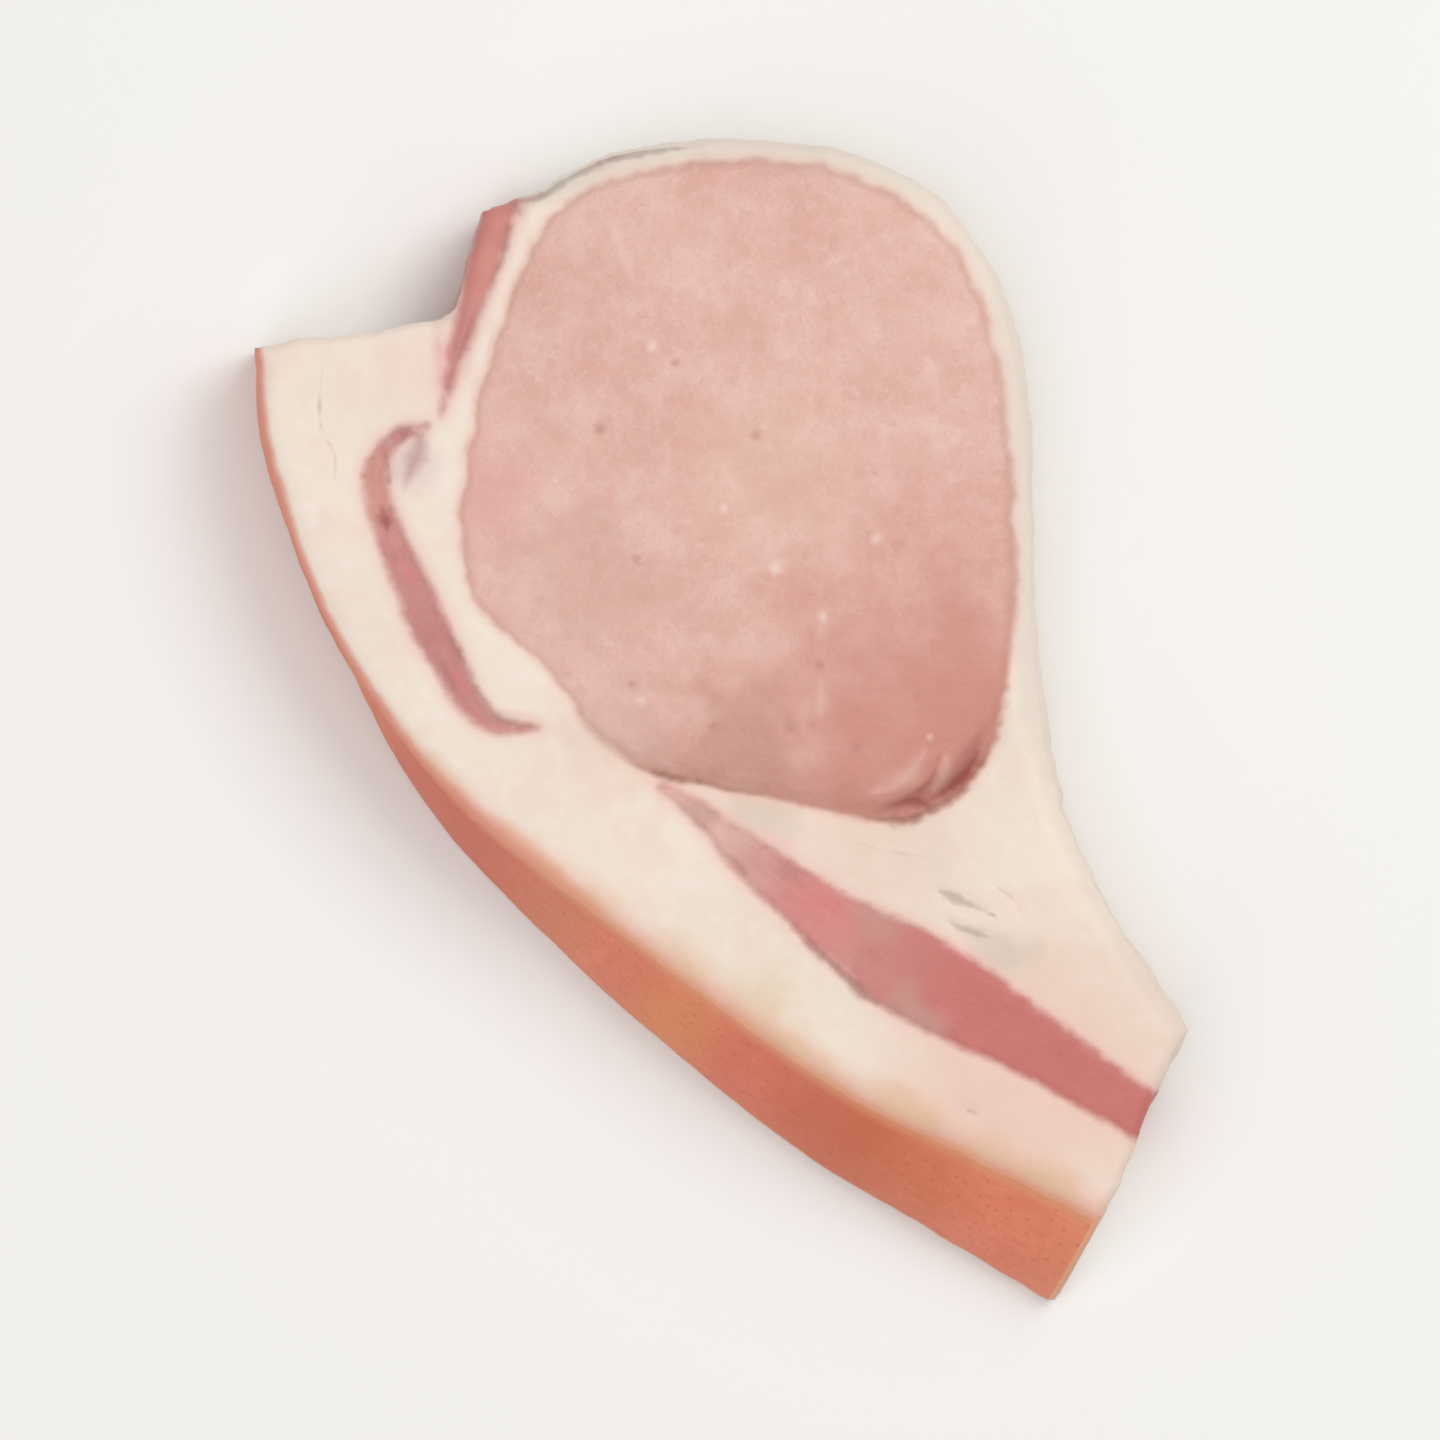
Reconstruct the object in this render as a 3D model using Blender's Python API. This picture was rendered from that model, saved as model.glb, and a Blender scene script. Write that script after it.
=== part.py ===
"""A raw pork loin chop, cut with its rind and its tail: one slice, lying on its flat underside.

Seen from above, +X runs to the right, +Y up the long way of the eye of meat and +Z through the slice.
Plan sizes are millimetres from the middle of the slice; the mesh turns them into metres.
"""
from collections import namedtuple

import bpy
import numpy as np
from mathutils import Vector
from mathutils.geometry import delaunay_2d_cdt

MM = 0.001

# --- Driving dimensions, in millimetres ---------------------------------------------------------
THICKNESS = 18.0            # of the slice at its rind
TAIL_THINNING = 2.2         # the tail end is this much thinner
EYE_DOME = 1.5              # the eye of meat swells above the fat round it
EYE_SWELL = 9.0             # and does so over this distance from its edge
EYE_ROLL = 1.3              # its lower edge rolls down before it meets the fat
ROLL_WIDTH = 5.0
CREASE_DROP = 1.4           # the fat dips under that lower edge
CREASE_REACH = 9.0          # and rises again over this distance
CREASE_LIP = 0.8            # the dip opens over this distance
CREASE_TOP = 4.0            # plan heights between which the crease sets in
CREASE_FULL = -8.0
SEAM_DEPTH = 0.4            # groove where muscle meets fat
SEAM_WIDTH = 0.9
VESSEL = (-40.2, 35.8)      # an open vessel in the hook of lean
VESSEL_DEPTH = 1.4
VESSEL_RADIUS = 1.0
SURFACE_WAVE = 0.35         # hand-cut unevenness of the upper face
SIDE_WAVE = 0.3             # and of the sides, in so many waves round them
SIDE_WAVES = 9

# --- Mesh spacing, in millimetres ---------------------------------------------------------------
EDGE_STEP = 2.2
TOP_STEP = 3.0
FOOT_STEP = 9.0
FEATURE_CLEARANCE = 1.5     # grid points stay this far from the drawn lines
EDGE_RINGS = (0.5, 1.5, 3.2)
FOOT_RINGS = (0.8, 2.4)
EYE_LINES = (-1.6, 0.0, 1.2)    # lines drawn along the eye's edge, outwards
SIDE_LEVELS = (0.14, 0.32, 0.52, 0.72, 0.88)

# --- The edge of the upper face, anticlockwise --------------------------------------------------
# A stretch has its points, then the width and depth of its rounded upper and lower edges, and how
# far its side bulges halfway down.
Stretch = namedtuple("Stretch", "points top_width top_depth foot_width foot_depth bulge")
RIND = Stretch(
    ((-58.3, 46.6), (-56.5, 31.9), (-48.0, 9.9), (-32.6, -10.6), (-9.9, -28.8), (13.6, -45.8),
     (31.2, -54.9), (47.6, -63.2)), 2.6, 1.2, 1.4, 0.9, 0.0)
TAIL_END = Stretch(
    ((47.6, -63.2), (51.6, -55.2), (54.0, -48.5), (58.3, -39.2)), 1.2, 0.8, 1.2, 0.8, 0.4)
FLANK = Stretch(
    ((58.3, -39.2), (50.6, -27.0), (44.0, -14.0), (40.6, -3.0)), 2.6, 1.8, 2.4, 1.4, 0.6)
LOIN_SIDE = Stretch(
    ((40.6, -3.0), (39.2, 10.0), (38.9, 25.0), (37.9, 40.0), (35.0, 53.4), (29.4, 63.2), (22.6, 68.2),
     (14.0, 71.1), (4.8, 72.0), (-4.0, 72.2), (-11.0, 71.5), (-17.0, 69.5), (-22.4, 66.3)),
    4.0, 3.2, 3.4, 2.4, 0.9)
CAP_END = Stretch(
    ((-22.4, 66.3), (-25.6, 65.3), (-29.7, 63.8)), 1.8, 1.2, 1.6, 1.0, 0.2)
NOTCH = Stretch(
    ((-29.7, 63.8), (-31.7, 57.0), (-33.2, 52.2), (-35.0, 50.4)), 1.6, 1.2, 1.6, 1.0, 0.2)
FAT_END = Stretch(
    ((-35.0, 50.4), (-41.0, 49.3), (-46.5, 48.2), (-53.0, 47.8), (-58.3, 46.6)),
    1.0, 0.7, 1.0, 0.7, 0.3)
EDGE = (RIND, TAIL_END, FLANK, LOIN_SIDE, CAP_END, NOTCH, FAT_END)

# The rind slants: how far its foot lies outside its upper edge, by the part of its length gone by.
RIND_SLANT = ((0.0, 0.5), (0.27, 0.8), (0.40, 3.8), (0.58, 7.4), (0.76, 9.2), (1.0, 12.0))
RIND_CONVEX = 1.6           # 1 would be a straight slope from edge to foot

# --- The lean in the cut face -------------------------------------------------------------------
EYE = (
    (3.3, 70.5), (-9.0, 69.0), (-19.2, 65.2), (-23.1, 60.2), (-26.7, 52.0), (-29.2, 44.5),
    (-30.8, 38.0), (-32.6, 25.3), (-30.6, 14.6), (-22.6, 6.9), (-15.4, -1.8), (-8.5, -5.9),
    (3.0, -8.5), (9.5, -9.7), (14.5, -10.9), (21.8, -12.2), (26.3, -10.8), (31.2, -7.1),
    (35.4, 1.5), (37.0, 12.0), (37.0, 26.0), (35.9, 40.0), (32.8, 52.5), (26.8, 62.2), (16.8, 68.6))
# A streak of lean is a line of (x, y, half its width there); its last value lifts or sinks it. The
# fold is where the eye's lower right edge has turned under.
Streak = namedtuple("Streak", "line lift")
CAP = Streak(
    ((-28.0, 65.5, 2.9), (-29.7, 57.5, 2.1), (-31.9, 50.0, 1.5), (-33.8, 43.5, 0.9),
     (-35.0, 38.5, 0.2)), -0.4)
HOOK = Streak(
    ((-37.0, 36.8, 0.4), (-40.2, 35.8, 0.8), (-42.8, 33.0, 1.2), (-43.3, 29.0, 1.5), (-40.9, 21.8, 1.9),
     (-39.0, 17.6, 2.2), (-36.8, 12.3, 2.4), (-34.0, 6.9, 2.1), (-32.0, 3.0, 1.7), (-28.8, -0.5, 1.1),
     (-23.0, -1.0, 0.3)), -0.6)
TAIL_LEAN = Streak(
    ((-7.4, -8.4, 0.4), (-2.3, -11.8, 1.4), (0.1, -14.0, 1.6), (3.2, -16.9, 2.6), (9.4, -21.7, 3.2),
     (14.2, -25.5, 4.0), (22.4, -30.8, 5.5), (30.1, -35.3, 5.3), (37.2, -39.4, 4.4), (46.0, -45.0, 3.6),
     (57.5, -52.5, 2.8)), 0.4)
FOLD = Streak(
    ((19.6, -11.6, 0.2), (23.6, -10.6, 1.0), (27.4, -9.0, 1.3), (30.4, -6.2, 1.2),
     (33.2, -1.5, 0.3)), -0.7)
STREAKS = (CAP, HOOK, TAIL_LEAN, FOLD)

FLESH_COLOUR = (0.73, 0.46, 0.39, 1.0)
FLESH_ROUGHNESS = 0.45


def spline(points, step, closed=False):
    """Points at an even step along a smooth curve through the given ones, both ends included."""
    points = np.array(points, float)
    if closed:
        points = np.vstack([points[-1:], points, points[:2]])
    else:
        points = np.vstack([2 * points[0] - points[1], points, 2 * points[-1] - points[-2]])
    u = np.linspace(0.0, 1.0, 40, endpoint=False)[:, None]
    spans = []
    for a, b, c, d in zip(points, points[1:], points[2:], points[3:]):
        bend = a - 2.5 * b + 2 * c - d / 2
        twist = 1.5 * (b - c) + (d - a) / 2
        spans.append(b + u * (c - a) / 2 + u**2 * bend + u**3 * twist)
    dense = np.vstack(spans + [points[-2:-1]])
    run = np.concatenate([[0.0], np.cumsum(np.hypot(*np.diff(dense[:, :2], axis=0).T))])
    even = np.linspace(0.0, run[-1], max(2, round(run[-1] / step)) + 1)
    return np.column_stack([np.interp(even, run, column) for column in dense.T])


def nearest(xy, line, closed):
    """Distance from each point to a line, and where along the line it is met, counted in points."""
    start = line if closed else line[:-1]
    along = (np.roll(line, -1, axis=0) if closed else line[1:]) - start
    away = xy[:, None, :2] - start[None, :, :2]
    u = np.clip((away * along[:, :2]).sum(2) / (along[:, :2]**2).sum(1), 0.0, 1.0)
    gap = np.hypot(*(away - u[..., None] * along[:, :2]).transpose(2, 0, 1))
    best = gap.argmin(1)
    rows = np.arange(len(xy))
    return gap[rows, best], best + u[rows, best]


def inside(xy, line):
    """True where a point lies within the closed line, by counting crossings to its right."""
    (x0, y0), (x1, y1) = line[:, :2].T, np.roll(line, -1, axis=0)[:, :2].T
    x, y = xy[:, :1], xy[:, 1:2]
    spans = (y0 > y) != (y1 > y)
    rise = np.where(y1 == y0, 1.0, y1 - y0)
    return (spans & (x < x0 + (y - y0) * (x1 - x0) / rise)).sum(1) % 2 == 1


def ramp(value, start, end):
    """Smooth step from 0 at start to 1 at end."""
    u = np.clip((value - start) / (end - start), 0.0, 1.0)
    return u * u * (3 - 2 * u)


def edge_outline():
    """The upper edge: its points, the Stretch sizes at each, its outward side and its foot's shift.

    The rind's slant shifts the foot outwards. Past the rind the shift fades along the tail's end,
    which stays one flat cut.
    """
    parts = [spline(stretch.points, EDGE_STEP)[:-1] for stretch in EDGE]
    sizes = np.vstack([np.tile(stretch[1:], (len(part), 1)) for stretch, part in zip(EDGE, parts)])
    for _ in range(2):
        sizes = (np.roll(sizes, 1, axis=0) + 2 * sizes + np.roll(sizes, -1, axis=0)) / 4
    points = np.vstack(parts)
    along = np.roll(points, -1, axis=0) - np.roll(points, 1, axis=0)
    outward = np.column_stack([along[:, 1], -along[:, 0]]) / np.hypot(*along.T)[:, None]
    rind, end = len(parts[0]), len(parts[1])
    shift = np.zeros_like(points)
    slant = np.interp(np.linspace(0, 1, rind), *zip(*RIND_SLANT))
    shift[:rind] = outward[:rind] * slant[:, None]
    shift[rind:rind + end] = shift[rind - 1] * np.linspace(1, 0, end + 2)[1:-1, None]
    return points, sizes, outward, shift


def top_height(xy, edge, sizes):
    """Height of the upper face: dome, rolled edge and crease, seams, streaks, waves and soft edges."""
    x, y = xy.T[:2]
    eye = spline(EYE, EDGE_STEP, closed=True)[:-1]
    from_eye, _ = nearest(xy, eye, True)
    in_eye = inside(xy, eye)
    crease = ramp(y, CREASE_TOP, CREASE_FULL)
    height = THICKNESS - TAIL_THINNING * ramp(x - y, 40.0, 115.0)
    height += np.where(in_eye, EYE_DOME * (1 - np.exp(-from_eye / EYE_SWELL)), 0.0)
    height -= np.where(in_eye, EYE_ROLL * crease * np.clip(1 - from_eye / ROLL_WIDTH, 0, 1)**2, 0.0)
    dip = (EYE_ROLL + CREASE_DROP * ramp(from_eye, 0.0, CREASE_LIP)) * np.exp(-from_eye / CREASE_REACH)
    height -= np.where(in_eye, 0.0, crease * dip)
    height -= SEAM_DEPTH * np.exp(-(from_eye / SEAM_WIDTH)**2)
    for streak in STREAKS:
        line = spline(streak.line, EDGE_STEP)
        gap, at = nearest(xy, line, False)
        depth = np.interp(at, np.arange(len(line)), line[:, 2]) - gap
        height += streak.lift * ramp(depth, -0.4, 1.0)
    height -= VESSEL_DEPTH * np.exp(-(np.hypot(x - VESSEL[0], y - VESSEL[1]) / VESSEL_RADIUS)**2)
    height += SURFACE_WAVE * (np.sin(x / 9.5 + y / 21.0) + 0.6 * np.sin(y / 7.5 - x / 17.0 + 1.0)) / 1.6
    return height - soft_edge(xy, edge, sizes[:, 0], sizes[:, 1])


def foot_height(xy, edge, sizes):
    """Height of the underside: flat, and rounded up at its edge."""
    return soft_edge(xy, edge, sizes[:, 2], sizes[:, 3])


def soft_edge(xy, edge, widths, depths):
    """How far a rounded edge falls away at each point, by its distance from the edge."""
    gap, at = nearest(xy, edge, True)
    at = at.astype(int) % len(edge)
    return depths[at] * np.clip(1 - gap / widths[at], 0.0, 1.0)**2


def plan_mesh(edge, outward, rings, lines, step):
    """Triangles that fill the edge, with rings of points inside it, drawn lines and an even grid."""
    points = [edge]
    for ring in rings:
        moved = edge - ring * outward
        keep = (nearest(moved, edge, True)[0] > 0.92 * ring) & inside(moved, edge)
        points.append(moved[keep])
    drawn = np.vstack([edge] + lines)
    across = step * 0.866
    columns = np.arange(edge[:, 0].min(), edge[:, 0].max(), across)
    rows = np.arange(edge[:, 1].min(), edge[:, 1].max(), step)
    grid = np.array([(x, y + step / 2 * (i % 2)) for i, x in enumerate(columns) for y in rows])
    for line in lines:
        clear = nearest(line, edge, True)[0] > rings[-1] + 0.5
        points.append(line[clear & inside(line, edge)])
    grid = grid[inside(grid, edge)]
    grid = grid[nearest(grid, edge, True)[0] > rings[-1] + 0.6 * step]
    gaps = np.hypot(*(grid[:, None] - drawn[None]).transpose(2, 0, 1)).min(1)
    points.append(grid[gaps > FEATURE_CLEARANCE])
    points = np.vstack(points)
    rim = list(range(len(edge)))
    coords, _, faces, _, _, _ = delaunay_2d_cdt([Vector(p) for p in points], [], [rim], 1, 1e-5)
    return np.array([tuple(p) for p in coords]), [tuple(face) for face in faces]


def lean_lines():
    """Lines drawn into the upper face's mesh: both sides of the eye's seam and of each streak."""
    eye = spline(EYE, EDGE_STEP, closed=True)[:-1]
    along = np.roll(eye, -1, axis=0) - np.roll(eye, 1, axis=0)
    out_of_eye = np.column_stack([along[:, 1], -along[:, 0]]) / np.hypot(*along.T)[:, None]
    lines = [eye + gap * out_of_eye for gap in EYE_LINES]
    for streak in STREAKS:
        line = spline(streak.line, EDGE_STEP)
        along = np.gradient(line[:, :2], axis=0)
        side = np.column_stack([along[:, 1], -along[:, 0]]) / np.hypot(*along.T)[:, None]
        lines += [line[:, :2] + side * line[:, 2:], line[:, :2] - side * line[:, 2:]]
    turn = np.linspace(0, 2 * np.pi, 6, endpoint=False)
    ring = np.column_stack([np.cos(turn), np.sin(turn)]) * VESSEL_RADIUS + VESSEL
    return lines + [ring, np.array([VESSEL])]


def slice_solid():
    """Upper face, side and underside of the slice as one closed mesh, in millimetres."""
    edge, sizes, outward, shift = edge_outline()
    foot = edge + shift
    top, top_faces = plan_mesh(edge, outward, EDGE_RINGS, lean_lines(), TOP_STEP)
    base, base_faces = plan_mesh(foot, outward, FOOT_RINGS, [], FOOT_STEP)
    top = np.column_stack([top, top_height(top, edge, sizes)])
    base = np.column_stack([base, foot_height(base, foot, sizes)])
    count = len(edge)
    rings = [np.arange(count)]
    points = [top]
    wave = SIDE_WAVE * np.sin(np.arange(count) * 2 * np.pi * SIDE_WAVES / count)
    for level in SIDE_LEVELS:
        bulge = (sizes[:, 4] + wave) * np.sin(np.pi * level)
        ring = edge + shift * (1 - (1 - level)**RIND_CONVEX) + outward * bulge[:, None]
        height = top[:count, 2] * (1 - level) + base[:count, 2] * level
        rings.append(sum(map(len, points)) + np.arange(count))
        points.append(np.column_stack([ring, height]))
    first = sum(map(len, points))
    rings.append(first + np.arange(count))
    points.append(base)
    faces = top_faces + [tuple(first + i for i in reversed(face)) for face in base_faces]
    for upper, lower in zip(rings, rings[1:]):
        for i in range(count):
            j = (i + 1) % count
            faces.append((upper[i], lower[i], lower[j], upper[j]))
    return np.vstack(points), faces


def flesh_material():
    material = bpy.data.materials.new("raw_pork")
    material.use_nodes = True
    shader = material.node_tree.nodes["Principled BSDF"]
    shader.inputs["Base Color"].default_value = FLESH_COLOUR
    shader.inputs["Roughness"].default_value = FLESH_ROUGHNESS
    return material


def pork_chop():
    points, faces = slice_solid()
    mesh = bpy.data.meshes.new("pork_chop")
    mesh.from_pydata([tuple(p) for p in points * MM], [], [tuple(map(int, face)) for face in faces])
    mesh.materials.append(flesh_material())
    mesh.shade_smooth()
    chop = bpy.data.objects.new("pork_chop", mesh)
    bpy.context.scene.collection.objects.link(chop)
    return chop


for old in list(bpy.data.objects):
    bpy.data.objects.remove(old)
pork_chop()
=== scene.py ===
"""The looks of a raw pork loin chop: one slice of lean, fat and rind on a pale floor.

Places are (x, y) in millimetres from the middle of the slice, seen from above, and sizes are
millimetres too; the finished mesh is in metres, as the frame is.
"""

import bpy
import numpy as np
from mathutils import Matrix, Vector, noise
from mathutils.geometry import delaunay_2d_cdt


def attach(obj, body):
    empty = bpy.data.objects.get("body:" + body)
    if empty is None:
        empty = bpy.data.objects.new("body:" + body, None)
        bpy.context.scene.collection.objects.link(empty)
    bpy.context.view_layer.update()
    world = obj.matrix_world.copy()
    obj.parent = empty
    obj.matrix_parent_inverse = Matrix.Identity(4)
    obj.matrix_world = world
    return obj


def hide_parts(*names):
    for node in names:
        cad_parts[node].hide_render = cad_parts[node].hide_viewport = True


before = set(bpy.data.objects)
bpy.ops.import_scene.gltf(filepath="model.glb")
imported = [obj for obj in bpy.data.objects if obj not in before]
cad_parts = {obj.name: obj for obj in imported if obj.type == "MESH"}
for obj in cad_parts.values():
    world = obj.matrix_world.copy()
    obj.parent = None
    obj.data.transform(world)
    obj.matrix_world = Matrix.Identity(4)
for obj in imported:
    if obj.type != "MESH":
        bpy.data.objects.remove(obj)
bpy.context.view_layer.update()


# ==== The edge of the slice =======================================================================
# A chop is sawn and sliced across the loin, so its edge is the outline of the loin: rind round the
# outside, the cut end of the tail, the thin flank side, the silverskin of the loin and, at the top
# left, the end of the lean cap, a notch and the squared-off end of the back fat.

OUTLINE_STEP = 0.7
# How many times the sizes below, and the corners, are eased into their neighbours.
SIZE_EASING = 18
CORNER_EASING = 3
# Each stretch: its points, the width and depth of its upper and lower rounding, its side's bulge,
# and how ragged the knife left it.
RIND = (
    ((-58.3, 46.6), (-56.5, 31.9), (-48.0, 9.9), (-32.6, -10.6), (-9.9, -28.8), (13.6, -45.8),
     (31.2, -54.9), (47.6, -63.2)), (2.6, 1.2, 1.4, 0.9, 0.0, 0.10))
TAIL_END = (
    ((47.6, -63.2), (51.6, -55.2), (54.0, -48.5), (58.3, -39.2)), (1.2, 0.8, 1.2, 0.8, 0.4, 0.35))
FLANK = (
    ((58.3, -39.2), (50.6, -27.0), (44.0, -14.0), (40.6, -3.0)), (2.6, 1.8, 2.4, 1.4, 0.6, 0.40))
LOIN_SIDE = (
    ((40.6, -3.0), (39.2, 10.0), (38.9, 25.0), (37.9, 40.0), (35.0, 53.4), (29.4, 63.2), (22.6, 68.2),
     (14.0, 71.1), (4.8, 72.0), (-4.0, 72.2), (-11.0, 71.5), (-17.0, 69.5), (-22.4, 66.3)),
    (4.0, 3.2, 3.4, 2.4, 0.9, 0.20))
CAP_END = (
    ((-22.4, 66.3), (-25.6, 65.3), (-29.7, 63.8)), (1.8, 1.2, 1.6, 1.0, 0.2, 0.35))
NOTCH = (
    ((-29.7, 63.8), (-31.7, 57.0), (-33.2, 52.2), (-35.0, 50.4)), (1.6, 1.2, 1.6, 1.0, 0.2, 0.30))
FAT_END = (
    ((-35.0, 50.4), (-41.0, 49.3), (-46.5, 48.2), (-53.0, 47.8), (-58.3, 46.6)),
    (1.0, 0.7, 1.0, 0.7, 0.3, 0.30))
# The rind slants: its foot lies this far outside its upper edge, by the part of its length gone by,
# and it bulges on the way down.
RIND_SLANT = ((0.0, 0.5), (0.27, 0.8), (0.40, 3.8), (0.58, 7.4), (0.76, 9.2), (1.0, 12.0))
RIND_CONVEX = 1.6


def spline(points, step, closed=False):
    """Points at an even step along a smooth curve through the given ones, both ends included."""
    points = np.array(points, float)
    if closed:
        points = np.vstack([points[-1:], points, points[:2]])
    else:
        points = np.vstack([2 * points[0] - points[1], points, 2 * points[-1] - points[-2]])
    u = np.linspace(0.0, 1.0, 60, endpoint=False)[:, None]
    spans = []
    for a, b, c, d in zip(points, points[1:], points[2:], points[3:]):
        bend = a - 2.5 * b + 2 * c - d / 2
        twist = 1.5 * (b - c) + (d - a) / 2
        spans.append(b + u * (c - a) / 2 + u**2 * bend + u**3 * twist)
    dense = np.vstack(spans + [points[-2:-1]])
    run = np.concatenate([[0.0], np.cumsum(np.hypot(*np.diff(dense[:, :2], axis=0).T))])
    even = np.linspace(0.0, run[-1], max(2, round(run[-1] / step)) + 1)
    return np.column_stack([np.interp(even, run, column) for column in dense.T])


def ripple(points, size, seed):
    """Smooth random values from about -1 to 1, with features of a given size in millimetres."""
    return np.array([noise.noise(Vector((p[0] / size, p[1] / size, seed))) for p in points]) * 1.6


def outward_side(line):
    """Unit vectors pointing out of an anticlockwise closed line."""
    along = np.roll(line, -1, axis=0) - np.roll(line, 1, axis=0)
    return np.column_stack([along[:, 1], -along[:, 0]]) / np.hypot(*along.T)[:, None]


stretches = (RIND, TAIL_END, FLANK, LOIN_SIDE, CAP_END, NOTCH, FAT_END)
parts = [spline(points, OUTLINE_STEP)[:-1] for points, _ in stretches]
edge = np.vstack(parts)
sizes = np.vstack([np.tile(given, (len(part), 1)) for (_, given), part in zip(stretches, parts)])
for _ in range(SIZE_EASING):
    sizes = (np.roll(sizes, 1, axis=0) + 2 * sizes + np.roll(sizes, -1, axis=0)) / 4
top_width, top_fall, foot_width, foot_fall, side_bulge, raggedness = sizes.T
raw_out = outward_side(edge)
edge_out = raw_out
for _ in range(CORNER_EASING):
    edge_out = np.roll(edge_out, 1, axis=0) + edge_out + np.roll(edge_out, -1, axis=0)
    edge_out /= np.hypot(*edge_out.T)[:, None]
ragged = 0.7 * ripple(edge, 3.2, 4.0) + 0.3 * ripple(edge, 1.3, 9.0)
edge = edge + edge_out * (ragged * raggedness)[:, None]
rind_count, end_count = len(parts[0]), len(parts[1])
loin_start = sum(map(len, parts[:3]))
loin_count = len(parts[3])
# The foot of the rind is shifted out, and that of the tail's end comes back in to its edge.
slant = np.zeros(len(edge))
slant[:rind_count] = np.interp(np.linspace(0, 1, rind_count), *zip(*RIND_SLANT))
foot_shift = raw_out * slant[:, None]
foot_shift[rind_count - 1] = foot_shift[rind_count - 2]
easing = np.linspace(1, 0, end_count + 2)[1:-1, None]
foot_shift[rind_count:rind_count + end_count] = foot_shift[rind_count - 1] * easing
foot = edge + foot_shift


# ==== The lean in the cut face ====================================================================
# The big oval is the eye, the long back muscle cut across. A thin cap muscle runs down its upper
# left. A hooked streak lies in the back fat, a broad streak runs out into the tail, and at the
# lower right the edge of the eye folds under.

# The spacing of points along the eye's edge and along a streak.
EYE_STEP = 0.5
STREAK_STEP = 0.8
EYE = (
    (3.3, 70.5), (-9.0, 69.0), (-19.2, 65.2), (-23.1, 60.2), (-26.7, 52.0), (-29.2, 44.5),
    (-30.8, 38.0), (-32.6, 25.3), (-30.6, 14.6), (-22.6, 6.9), (-15.4, -1.8), (-8.5, -5.9),
    (3.0, -8.5), (9.5, -9.7), (14.5, -10.9), (21.8, -12.2), (26.3, -10.8), (31.2, -7.1),
    (35.4, 1.5), (37.0, 12.0), (37.0, 26.0), (35.9, 40.0), (32.8, 52.5), (26.8, 62.2), (16.8, 68.6))
# The eye's lower edge rolls over a crease, which begins at the first y and is full at the second.
CREASE_TOP = 4.0
CREASE_FULL = -8.0
# Half the width of the painted brown shade line in the crease under the eye, by x.
CREASE_SHADE_LINE = (
    (-14.0, -0.8), (-10.0, -0.2), (-7.5, 0.5), (-3.0, 0.4), (0.5, -0.2), (7.0, -0.5), (13.0, -0.8),
    (18.0, -0.7), (20.0, 0.2), (22.0, 0.6), (27.0, 0.4), (32.0, 0.3), (36.0, -0.2), (38.0, -0.8))
# A streak is a line of (x, y, half its width there), and how far it stands out of the face.
STREAKS = {
    "cap": (((-28.0, 65.5, 2.9), (-29.7, 57.5, 2.1), (-31.9, 50.0, 1.5), (-33.8, 43.5, 0.9),
             (-35.0, 38.5, 0.2)), -0.4),
    "hook": (((-37.0, 36.8, 0.4), (-40.2, 35.8, 0.8), (-42.8, 33.0, 1.2), (-43.3, 29.0, 1.5),
              (-40.9, 21.8, 1.9), (-39.0, 17.6, 2.2), (-36.8, 12.3, 2.4), (-34.0, 6.9, 2.1),
              (-32.0, 3.0, 1.7), (-28.8, -0.5, 1.1), (-23.0, -1.0, 0.3)), -0.6),
    "tail": (((-7.4, -8.4, 0.5), (-5.0, -9.9, 1.0), (-2.3, -11.8, 1.5), (0.1, -14.0, 1.7),
              (3.2, -16.9, 2.7), (9.4, -21.7, 3.3), (14.2, -25.5, 4.0), (22.4, -30.8, 5.5),
              (30.1, -35.3, 5.3), (37.2, -39.4, 4.4), (46.0, -45.0, 3.6), (57.5, -52.5, 2.8)), 0.4),
    # The fold is a sunk crescent where the eye's edge turns under, painted darker as shade.
    "fold": (((19.6, -11.6, 0.2), (23.6, -10.6, 1.0), (27.4, -9.0, 1.3), (30.4, -6.2, 1.2),
              (33.2, -1.5, 0.3)), -0.7)}
# The mouth of an open vessel at the top of the hook.
VESSEL = (-40.2, 35.8)


def ramp(value, start, end):
    """Smooth step from 0 at start to 1 at end."""
    u = np.clip((value - start) / (end - start), 0.0, 1.0)
    return u * u * (3 - 2 * u)


def nearest(xy, line, closed):
    """Distance from each point to a line, and where along the line it is met, counted in points."""
    start = line if closed else line[:-1]
    along = (np.roll(line, -1, axis=0) if closed else line[1:]) - start
    gaps, places = [], []
    for block in np.array_split(xy[:, :2], max(1, len(xy) * len(line) // 2000000)):
        away = block[:, None] - start[None, :, :2]
        u = np.clip((away * along[:, :2]).sum(2) / (along[:, :2]**2).sum(1), 0.0, 1.0)
        gap = np.hypot(away[..., 0] - u * along[:, 0], away[..., 1] - u * along[:, 1])
        best = gap.argmin(1)
        rows = np.arange(len(block))
        gaps.append(gap[rows, best])
        places.append(best + u[rows, best])
    return np.concatenate(gaps), np.concatenate(places)


def inside(xy, line):
    """True where a point lies within the closed line, by counting crossings to its right."""
    (x0, y0), (x1, y1) = line[:, :2].T, np.roll(line, -1, axis=0)[:, :2].T
    rise = np.where(y1 == y0, 1.0, y1 - y0)
    found = []
    for block in np.array_split(xy, max(1, len(xy) * len(line) // 2000000)):
        x, y = block[:, :1], block[:, 1:2]
        spans = (y0 > y) != (y1 > y)
        found.append((spans & (x < x0 + (y - y0) * (x1 - x0) / rise)).sum(1) % 2 == 1)
    return np.concatenate(found)


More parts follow.
